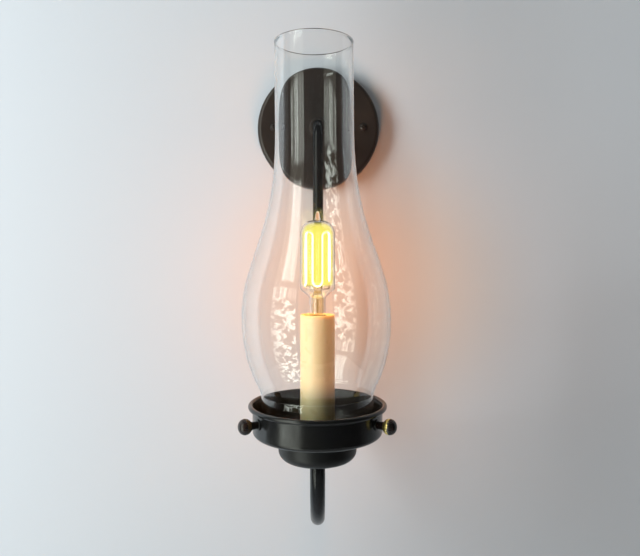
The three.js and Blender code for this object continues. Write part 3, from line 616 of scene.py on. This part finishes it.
def ivory_build(at, x, y, z):
    """Ivory resin: slow cloudy tones and a fine waxy surface. Towards its top the sleeve is
    painted paler and given a faint painted glow, most at its rim, for the bulb's light on it."""
    cloud = noise(at, 60.0, 4.0, 0.55).step(0.3, 0.7)
    body = cloud.mixed((0.43, 0.365, 0.20, 1), (0.37, 0.31, 0.16, 1))
    # Painted light: the sleeve paler towards its top, a faint painted orange glow in it and a
    # brighter one at the rim.
    painted_bulb_light = z.step(lamp_z(20), lamp_z(38))
    rim = z.step(lamp_z(75), lamp_z(77.3))
    painted_bulb_glow = painted_bulb_light.mixed((0.0, 0.0, 0.0, 1), (0.28, 0.11, 0.035, 1))
    return at.node(
        "BsdfPrincipled",
        {
            "Base Color": painted_bulb_light.mixed(body, (0.70, 0.53, 0.30, 1)),
            "Roughness": noise(at, 90.0).step(0.3, 0.7, 0.26, 0.36),
            "Subsurface Weight": 0.25,
            "Subsurface Radius": (0.006, 0.003, 0.0015),
            "Subsurface Scale": 1.0,
            "Emission Color": rim.mixed(painted_bulb_glow, (0.70, 0.22, 0.03, 1)),
            "Emission Strength": 1.0,
            "Normal": noise(at, 700.0, 3.0).bump(0.08, 0.0001),
        },
    )


candle_outline = rounded(
    [
        (CANDLE["radius"], CANDLE["foot"], 0.3),
        (CANDLE["radius"], CANDLE["top"], 0.5),
        (CANDLE["bore"], CANDLE["top"], 0.4),
        (CANDLE["bore"], CANDLE["foot"], 0.2),
    ]
)
piece(
    "candle",
    turned(candle_outline, 96, LAMP),
    material("ivory_resin", ivory_build),
    "candle_cover",
    ["candle_cover"],
    rows_close=True,
)


# Bulb base: a brass cap with a rolled screw thread under a plain skirt, closed below by
# its black insulator and its contact.
BASE = {"low": 60.1, "thread_top": 72, "top": 77, "radius": 5.9, "inside": 5.5, "hole": 1.7}
THREAD = {"depth": 0.5, "pitch": 2.54}


def thread_rows(heights, radii, depth, sides=72):
    """A turned surface whose radius dips by depth along a helix: the dip goes by
    (1 - cos(2 pi height / pitch - turn)) / 2, and fades out where depth is 0."""
    turn = np.arange(sides) * 2 * pi / sides
    wave = 0.5 - 0.5 * np.cos(2 * pi * heights[:, None] / THREAD["pitch"] - turn[None])
    radius = radii[:, None] - depth[:, None] * wave
    ring = np.stack([np.cos(turn), np.sin(turn), 0 * turn], 1)
    upwards = heights[:, None, None] * np.array([0, 0, 1.0])
    return np.array(LAMP, float) + radius[..., None] * ring + upwards


outer_heights = np.linspace(BASE["low"], BASE["top"], 96)
fade_below = np.clip((outer_heights - BASE["low"]) / 0.8, 0, 1)
fade_above = np.clip((BASE["thread_top"] - outer_heights) / 1.2, 0, 1)
thread_depth = THREAD["depth"] * fade_above * fade_below
inner_heights = outer_heights[::-1]
inner_radii = BASE["inside"] - THREAD["depth"] * (inner_heights < BASE["thread_top"])
base_rows = np.concatenate(
    [
        thread_rows(outer_heights, BASE["radius"] + 0 * outer_heights, thread_depth),
        thread_rows(inner_heights, inner_radii, 0 * inner_heights),
        turned([(BASE["hole"], BASE["low"] + 0.4), (BASE["hole"], BASE["low"])], 72, LAMP),
    ]
)
piece("base", base_rows, brass, "bulb", ["bulb_base"], rows_close=True)


# Bulb: a tubular envelope of clear lamp glass with a drawn tip, over a flared stem that
# is pressed flat round the lead wires. The glass about the filament has a painted yellow
# glow for the filament's glare.
BULB = {"foot": 72.7, "neck": 5.2, "radius": 11.5, "wall": 0.5, "tip": 2.2, "dome": 9}


def clear_glass(at, colour, smooth, bump=0.0):
    """Clear glass for what is seen through it. For shadows it is thin air that thickens
    where the glass stands edge on, as a glass tube's shadow has dark sides."""
    glass = at.node(
        "BsdfPrincipled",
        {
            "Base Color": (*colour, 1),
            "Roughness": smooth,
            "IOR": 1.48,
            "Transmission Weight": 1.0,
            "Normal": noise(at, 90.0, 2.0).bump(bump, 0.0004),
        },
    )
    air = at.node("BsdfTransparent", {"Color": (0.97, 0.97, 0.97, 1)})
    edge = at.node("LayerWeight", {"Blend": 0.5}, "Facing").step(0.5, 1.0) * 0.7
    shade = at.node("MixShader", {0: edge, 1: air, 2: at.node("BsdfDiffuse")})
    shadow = at.node("LightPath", output="Is Shadow Ray")
    return at.node("MixShader", {0: shadow, 1: glass, 2: shade})


def envelope_build(at, x, y, z):
    """Clear glass with a painted yellow glow for the filament's glare, between the ends of the
    cage and where the glass faces the eye, and a dim painted orange glow in the drawn tip."""
    # Painted glare: a yellow glow in the glass round the cage, and an orange one in the tip.
    facing = at.node("LayerWeight", {"Blend": 0.5}, "Facing").step(0.23, 0.15)
    cage = z.step(lamp_z(95.5), lamp_z(98)) * z.step(lamp_z(138.5), lamp_z(134.5))
    tip = z.step(lamp_z(138), lamp_z(140)) * z.step(lamp_z(148), lamp_z(145))
    tone = tip.mixed((1.0, 0.92, 0.14, 1), (0.80, 0.30, 0.06, 1))
    light = at.node("Emission", {"Color": tone, "Strength": 1.1})
    painted_glare = (cage * 0.48 + tip * 0.22) * facing
    glass = clear_glass(at, (1.0, 0.995, 0.98), 0.0)
    return at.node("MixShader", {0: painted_glare, 1: glass, 2: light})


def smooth_step(start, end, low, high, steps):
    """An outline's run from one radius to another, level at both ends: the radius goes by
    3 s^2 - 2 s^3 as the height goes by s."""
    share = np.linspace(0, 1, steps)
    ease = share * share * (3 - 2 * share)
    return np.stack([start + (end - start) * ease, low + (high - low) * share], 1)


def envelope(shrink):
    """The envelope's outline from the neck up to the tip's root, moved inwards by shrink.
    Over the dome the radius goes by cos^0.8 and the height by sin^1.15 of the turn."""
    neck, radius = BULB["neck"], BULB["radius"]
    turn = radians(90) * np.linspace(0, 1, 18)
    dome_radius = BULB["tip"] + (radius - BULB["tip"]) * np.cos(turn) ** 0.8
    dome_height = 129.8 + BULB["dome"] * np.sin(turn) ** 1.15
    side = np.concatenate(
        [
            [(neck, BULB["foot"]), (neck, 80), (neck, 87.4)],
            smooth_step(neck, radius, 87.6, 94.9, 24),  # shoulder
            [(radius, 95.2), (radius, 110), (radius, 129)],  # tube round the cage
            np.stack([dome_radius, dome_height], 1),
        ]
    )
    slope = np.gradient(side, axis=0)
    slope /= np.linalg.norm(slope, axis=1, keepdims=True)
    return side + shrink * np.stack([-slope[:, 1], slope[:, 0]], 1)


tip_radii = [2.1, 1.75, 1.45, 1.25, 0.9, 0.45, 0]
tip_heights = [139.4, 140.6, 142, 143.2, 144.2, 144.7, 144.8]
inside = envelope(BULB["wall"])
bulb_outline = np.concatenate(
    [envelope(0.0), np.stack([tip_radii, tip_heights], 1), [(0, inside[-1, 1])], inside[::-1]]
)
bulb_outline[:, 0] = np.maximum(bulb_outline[:, 0], 0)
piece(
    "envelope",
    turned(bulb_outline, 128, LAMP),
    material("lamp_glass", envelope_build),
    "bulb",
    ["bulb_glass"],
    rows_close=True,
)


def stem_build(at, x, y, z):
    """Clear glass with a faint painted orange glow for the filament's light in it, stronger
    above the pinch. The hooks' buttons share it.
    """
    # Painted glow: the share of orange light mixed into the glass, 0.10 low down and 0.22 above
    # the pinch.
    painted_glow_share = z.step(lamp_z(87), lamp_z(95), 0.10, 0.22)
    light = at.node("Emission", {"Color": (1.0, 0.55, 0.16, 1), "Strength": 1.2})
    glass = clear_glass(at, (1.0, 0.985, 0.96), 0.02)
    return at.node("MixShader", {0: painted_glow_share, 1: glass, 2: light})


stem_glass = material("stem_glass", stem_build)
stem_outline = rounded(
    [
        (4.1, BULB["foot"], 0.1),  # flare, sealed to the neck
        (4.1, 89.5, 1.5),
        (2.2, 92.6, 1),  # pinch round the lead wires
        (2.2, 95.4, 0.4),
        (0.9, 95.7, 0.1),  # rod that carries the hooks
        (0.9, 134.2, 0.4),
        (0, 134.2, 0),
        (0, 90.5, 0),
        (3.3, 88.4, 0.8),  # inside of the flare
        (3.3, BULB["foot"], 0.1),
    ]
)
piece(
    "stem",
    turned(stem_outline, 64, LAMP),
    stem_glass,
    "bulb",
    ["bulb_stem"],
    rows_close=True,
)


# Filament: one carbon wire that runs up and down a round cage in eight long legs, hung
# on two rings of steel hooks. It glows yellow-white.
CAGE = {"radius": 8.2, "low": 96.3, "high": 131.3, "legs": 8, "loop": 2.4}
CARBON = {"radius": 0.55, "sag": 0.25, "stations": 24}


def glow_build(at, x, y, z):
    """Glowing carbon: brightest at the middle of each leg and more orange at its ends."""
    ends = z.step(lamp_z(94.5), lamp_z(98)) * z.step(lamp_z(132.5), lamp_z(129))
    return at.node(
        "BsdfPrincipled",
        {
            "Base Color": (0.05, 0.03, 0.02, 1),
            "Roughness": noise(at, 1500.0, 2.0).step(0.0, 1.0, 0.5, 0.7),
            "Emission Color": ends.mixed((1.0, 0.60, 0.12, 1), (1.0, 0.93, 0.62, 1)),
            "Emission Strength": 6.0,
        },
    )


def on_cage(turn, height, radius):
    """Points about the lamp's axis, by angle, height and radius."""
    turn, height, radius = np.broadcast_arrays(turn, height, radius)
    ring = np.stack([radius * np.cos(turn), radius * np.sin(turn), height], -1)
    return np.array(LAMP, float) + ring


# The legs run up and down in turn, each bowed by a half wave. A loop joins each to the
# next, and rises over the hook by sin^0.6 of its way round.
leg_turn = 2 * pi / CAGE["legs"]
leg_low, leg_high = CAGE["low"] + CAGE["loop"], CAGE["high"] - CAGE["loop"]
stations = []
for leg in range(CAGE["legs"]):
    turn = (leg + 0.5) * leg_turn
    ends = (leg_low, leg_high) if leg % 2 == 0 else (leg_high, leg_low)
    run = np.linspace(*ends, CARBON["stations"])
    bow = np.sin(np.linspace(0, pi, CARBON["stations"])) * (1 if leg % 3 else -0.6)
    stations.append(on_cage(turn, run, CAGE["radius"] + CARBON["sag"] * bow))
    if leg < CAGE["legs"] - 1:
        share = np.linspace(0, 1, 14)[1:-1]
        rise = np.sin(share * pi) ** 0.6 * CAGE["loop"] * (1 if leg % 2 == 0 else -1)
        stations.append(on_cage(turn + share * leg_turn, run[-1] + rise, CAGE["radius"]))
filament_path = np.concatenate(stations)
spread = filament_path - np.array(LAMP, float)
spread[:, 2] = 0
filament_radii = np.full(len(filament_path), CARBON["radius"])
filament_radii[[0, -1]] = 0
piece(
    "filament",
    carried(filament_path, filament_radii, spread, 10),
    material("glowing_carbon", glow_build),
    "bulb",
    ["bulb_filament"],
)


# Hooks: steel wires set into a glass button at each end of the cage, and the two lead
# wires, which leave the stem sideways and turn up to the filament's ends.
BUTTON = {"radius": 1.8, "thickness": 1.6, "edge": 0.4}
HOOK = {"from": 1.4, "reach": 7.5, "radius": 0.24, "stations": 12}
LEAD = {"height": 94, "bend": 1.2, "top": 98.3, "radius": 0.28}


def hook_steel_build(at, x, y, z):
    """Support wire: steel that the heat has turned brown."""
    heat = noise(at, 700.0, 3.0).step(0.3, 0.7)
    return at.node(
        "BsdfPrincipled",
        {
            "Base Color": heat.mixed((0.20, 0.13, 0.08, 1), (0.10, 0.05, 0.03, 1)),
            "Roughness": heat.step(0.0, 1.0, 0.35, 0.5),
            "Metallic": 0.8,
        },
    )


hook_steel = material("hook_steel", hook_steel_build)


def button_outline(foot, hole):
    """The button's outline: rounded where it has a hole for the rod, bevelled if not."""
    wide, edge, top = BUTTON["radius"], BUTTON["edge"], foot + BUTTON["thickness"]
    if hole:
        lower = [(hole, foot, 0.1), (wide, foot, edge)]
        return rounded(lower + [(wide, top, edge), (hole, top, 0.1)])
    lower = [(0, foot), (wide - edge, foot), (wide, foot + edge)]
    return np.array(lower + [(wide, top - edge), (wide - edge, top), (0, top)])


def support(name, foot, drop, loops, hole, replaces):
    """A button at the height foot, and a wire from it to each loop of the filament. A wire
    falls by drop times s^1.3 as it goes outwards by s."""
    piece(
        f"{name}_button",
        turned(button_outline(foot, hole), 32, LAMP),
        stem_glass,
        "bulb",
        replaces,
        rows_close=hole > 0,
    )
    share = np.linspace(0, 1, HOOK["stations"])
    reach = HOOK["from"] + (HOOK["reach"] - HOOK["from"]) * share
    height = foot + BUTTON["thickness"] / 2 - drop * share**1.3
    radii = np.full(HOOK["stations"], HOOK["radius"])
    radii[[0, -1]] = 0
    for i, loop in enumerate(loops):
        wire_rows = carried(on_cage(loop * leg_turn, height, reach), radii, (0.01, 0.02, 1), 8)
        piece(f"{name}_wire_{i}", wire_rows, hook_steel, "bulb", replaces)


support("top_hooks", 134.5, 4, [1, 3, 5, 7], 0, ["bulb_top_support"])
support("low_hooks", 95.8, 0, [2, 4, 6], 1.2, ["bulb_bottom_support"])

# A lead wire's quarter bend: outwards by sin and upwards by 1 - cos of its turn.
bend_turn = np.radians(np.linspace(0, 90, 8))
bend_out = CAGE["radius"] - LEAD["bend"] + LEAD["bend"] * np.sin(bend_turn)
bend_up = LEAD["height"] + LEAD["bend"] * (1 - np.cos(bend_turn))
lead_out = np.concatenate([[2.5, 5], bend_out, [CAGE["radius"]]])
lead_up = np.concatenate([[LEAD["height"], LEAD["height"]], bend_up, [LEAD["top"]]])
lead_radii = np.full(len(lead_out), LEAD["radius"])
lead_radii[[0, -1]] = 0
for name, leg in (("bulb_lead_a", 0.5), ("bulb_lead_b", CAGE["legs"] - 0.5)):
    turn = leg * leg_turn
    sideways = (-sin(turn), cos(turn), 0)
    lead_rows = carried(on_cage(turn, lead_up, lead_out), lead_radii, sideways, 10)
    piece(name + "_wire", lead_rows, hook_steel, "bulb", [name])


# Chimney: a blown lamp glass a little under 1 mm thick, with a straight collar, a bulge
# and a long neck. Both rims are fire-polished, which has left them round and slightly
# thicker. It stands loose in the holder, with half a degree of lean over its height.
GLASS = {"wall": 0.8, "bead": 0.5, "foot": 37, "belly": 48.5, "neck": 25.8, "height": 254}
STANDING = {"seat": DISH["sheet"] + SEAT_GAP, "lean": 2.45}


def chimney_outline(steps=14):
    """The wall's middle line, moved to both sides by half its thickness. The line is the
    collar, two cubic curves through the bulge, and the neck. Near a rim the thickness
    grows by the bead, then closes as a half round: sqrt(1 - (1 - s)^2) of it, where s is
    the distance from the rim in half thicknesses."""

    def curve(points, count):
        """A cubic curve that leaves its first point towards the second and comes to its
        last point from the third."""
        s = np.linspace(0, 1, count)[:, None]
        a, b, c, d = np.array(points, float)
        return (1 - s) ** 3 * a + 3 * s * (1 - s) ** 2 * b + 3 * s**2 * (1 - s) * c + s**3 * d

    belly, neck = GLASS["belly"], GLASS["neck"]
    end = (GLASS["wall"] + GLASS["bead"]) / 2
    round_end = end * (1 - np.cos(np.linspace(0, pi / 2, steps)))
    near = np.concatenate([round_end, [1.1, 1.5, 2, 2.6, 3.4, 5, 9]])
    foot = np.stack([GLASS["foot"] - 0.5 * near / 23.6, near], 1)
    mouth = np.stack([neck + 0 * near, GLASS["height"] - near], 1)[::-1]
    bulge = curve([(36.5, 23.6), (36.5, 30.4), (belly, 41.8), (belly, 74.4)], 48)
    flank = curve([(belly, 74.4), (belly, 113.4), (neck, 127.9), (neck, 195.3)], 64)[1:]
    outer = np.concatenate([foot, [(36.65, 16)], bulge, flank, [(neck, 210), (neck, 228)], mouth])
    slope = np.gradient(outer, axis=0)
    slope /= np.linalg.norm(slope, axis=1, keepdims=True)
    inwards = np.stack([-slope[:, 1], slope[:, 0]], 1)
    rim = np.minimum(outer[:, 1], GLASS["height"] - outer[:, 1])[:, None]
    half = GLASS["wall"] / 2 + GLASS["bead"] / 2 * np.exp(-((rim / 1.6) ** 2))
    half = half * np.sqrt(1 - (1 - np.clip(rim / end, 0, 1)) ** 2)
    middle = outer + inwards * GLASS["wall"] / 2
    both_sides = [middle - half * inwards, (middle + half * inwards)[::-1]]
    return np.concatenate(both_sides) + (0, STANDING["seat"])


def chimney_build(at, x, y, z):
    """Clear glass with a very slight ripple, as blowing leaves it."""
    return clear_glass(at, (0.99, 0.995, 0.99), 0.0, 0.02)


chimney_rows = turned(chimney_outline(), 192, LAMP)
above = chimney_rows[..., 2] - LAMP[2] - STANDING["seat"]
chimney_rows[..., 0] -= STANDING["lean"] * above / GLASS["height"]
piece(
    "glass_chimney",
    chimney_rows,
    material("chimney_glass", chimney_build),
    "chimney",
    ["chimney"],
    rows_close=True,
)


# Room: a plain pale wall behind the sconce, a pale floor well below it, and a tall
# window with trees outside to the left of the camera. Its sizes are in metres.
ROOM = {"wall": 0.0005, "half": 8, "floor": -2.1, "ceiling": 4, "floor_half": 3}
WINDOW = {"left": (-1.75, -0.80), "right": (-0.80, -1.55), "low": -2.0, "high": 1.5}
# The middle and reach of the wall's painted warm tint for the bulb's glow, in metres.
PAINTED_GLOW_SPOT = {"x": 0.05, "z": -0.15, "radius": 0.175}


def flat(name, corners, build):
    """A flat sheet of the room, from its four corners in metres."""
    mesh = bpy.data.meshes.new(name)
    mesh.from_pydata(corners, [], [(0, 1, 2, 3)])
    mesh.materials.append(material(name, build))
    made = bpy.data.objects.new(name, mesh)
    bpy.context.collection.objects.link(made)
    return made


def wall_build(at, x, y, z):
    """Matt paint, seen from the room only, with a painted warm tint of the bulb's glow round
    the bulb and painted shade on the side of it that is turned from the window: beside it,
    and lower down right."""
    tone = noise(at, 1.6, 1.0).mixed((0.635, 0.655, 0.675, 1), (0.655, 0.67, 0.68, 1))
    # Painted light: a warm tint round the bulb for its glow, and painted shade beside the lamp and
    # lower down right.
    beside, over = x - PAINTED_GLOW_SPOT["x"], z - PAINTED_GLOW_SPOT["z"]
    away = (beside * beside + over * over) ** 0.5
    tone = away.step(PAINTED_GLOW_SPOT["radius"], 0.03).mixed(tone, (0.64, 0.575, 0.50, 1))
    painted_lee_shade = x.step(-0.02, 0.11) * x.step(0.34, 0.15) * 0.17
    corner = x.step(0.10, 0.30) * z.step(-0.1, -0.5) * 0.14
    paint = at.node("BsdfDiffuse", {"Color": (painted_lee_shade + corner).mixed(tone, (0.0, 0.0, 0.0, 1))})
    back = at.node("NewGeometry", output="Backfacing")
    return at.node("MixShader", {0: back, 1: paint, 2: at.node("BsdfTransparent")})


def floor_build(at, x, y, z):
    """A pale floor with faint, slow patches."""
    tone = noise(at, 3.0).mixed((0.78, 0.78, 0.78, 1), (0.82, 0.82, 0.82, 1))
    return at.node("BsdfDiffuse", {"Color": tone})


def window_build(at, x, y, z):
    """Sky above a cross bar, panes streaked by stems below it, and then bushes whose
    leaves let the light through in patches; across runs over the window from 0 to 1."""
    across = (x - WINDOW["left"][0]) / (WINDOW["right"][0] - WINDOW["left"][0])
    # From left to right the panes' levels are 0.5, 0.1, 1.0, 0.15 and 0.35.
    panes = 0.5 - across.step(0.15, 0.19) * 0.4 + across.step(0.34, 0.38) * 0.9
    panes = panes - across.step(0.60, 0.65) * 0.85 + across.step(0.66, 0.70) * 0.2
    sky = across.step(0.26, 0.38) * across.step(0.90, 0.80)
    # The cross bar lies between z 0.46 and 0.52, and the bushes reach up to z 0.26.
    panes = panes * z.step(0.46, 0.40) + sky * z.step(0.52, 0.60)
    bushes = z.step(0.26, 0.12)
    stems = noise(at.stretched((32.0, 32.0, 1.1)), 1.0, 3.0).step(0.42, 0.57)
    gaps = noise(at.stretched((3.2, 3.2, 9.0)), 1.0, 4.0, 0.65).step(0.47, 0.56)
    patches = gaps * across.step(0.0, 0.6, 0.35, 1.0)
    light = (panes * (0.3 + 0.7 * stems) + 0.06) * (1 - bushes) + bushes * patches
    tone = light.mixed((0.03, 0.025, 0.015, 1), (0.93, 1.0, 0.92, 1))
    return at.node("Emission", {"Color": tone, "Strength": 6.5})


half, low, high = ROOM["half"], ROOM["floor"], ROOM["ceiling"]
wall_corners = [(-half, low), (half, low), (half, high), (-half, high)]
wall = flat("wall", [(x, ROOM["wall"], z) for x, z in wall_corners], wall_build)
wall.visible_shadow = False

half = ROOM["floor_half"]
floor_corners = [(-half, -half), (half, -half), (half, half), (-half, half)]
flat("floor", [(x, y, ROOM["floor"]) for x, y in floor_corners], floor_build)

left, right, low, high = WINDOW.values()
pane_corners = [(*left, low), (*right, low), (*right, high), (*left, high)]
pane = flat("window", pane_corners, window_build)
pane.visible_camera = False
pane.visible_diffuse = False


# Lights: the window's sky as a soft panel, the bulb's warm light at its filament, and
# the orange glow that it throws on the wall close by.
def lit(name, kind, place, energy, colour, size):
    """A lamp of the room that only lights, and shows in no glass or gloss."""
    made = bpy.data.objects.new(name, bpy.data.lights.new(name, kind))
    made.location = place
    made.data.energy = energy
    made.data.color = colour
    if kind == "AREA":
        made.data.shape = "RECTANGLE"
        made.data.size, made.data.size_y = size
        towards = Vector((0, -0.1, -0.2)) - made.location
        made.rotation_euler = towards.to_track_quat("-Z", "Y").to_euler()
    else:
        made.data.shadow_soft_size = size
    made.visible_camera = made.visible_glossy = made.visible_transmission = False
    bpy.context.collection.objects.link(made)


lit("sky_light", "AREA", (-1.3, -0.85, 0.0), 33.0, (0.875, 0.965, 1.0), (0.6, 1.2))
lit("bulb_light", "POINT", (0, -0.19, -0.122), 0.4, (1.0, 0.50, 0.16), 0.006)
lit("wall_glow", "POINT", (0.012, -0.12, -0.140), 0.48, (1.0, 0.26, 0.02), 0.03)

# The rest of the room: its light comes more from the window's side, x = -1, than from
# the other. What gloss and glass show of it is dark in front and paler towards the wall.
world = bpy.data.worlds.new("world")
bpy.context.scene.world = world
world.use_nodes = True
room = Field(world.node_tree)
way = room.node("TexCoord", output="Generated")
side = room.node("SeparateXYZ", {0: way}, "X")
seen = room.node("SeparateXYZ", {0: way}, "Y").step(-0.2, 0.3, 0.05, 0.55)
glossy = room.node("LightPath", output="Is Glossy Ray")
direct = glossy.maths("MAXIMUM", glossy, room.node("LightPath", output="Is Transmission Ray"))
level = side.step(-1.0, 1.0, 0.40, 0.13) * (1 - direct) + direct * seen
background = world.node_tree.nodes["Background"].inputs
background["Color"].default_value = (0.86, 0.86, 0.865, 1)
world.node_tree.links.new(level.socket, background["Strength"])
bpy.context.scene.view_settings.view_transform = "Standard"
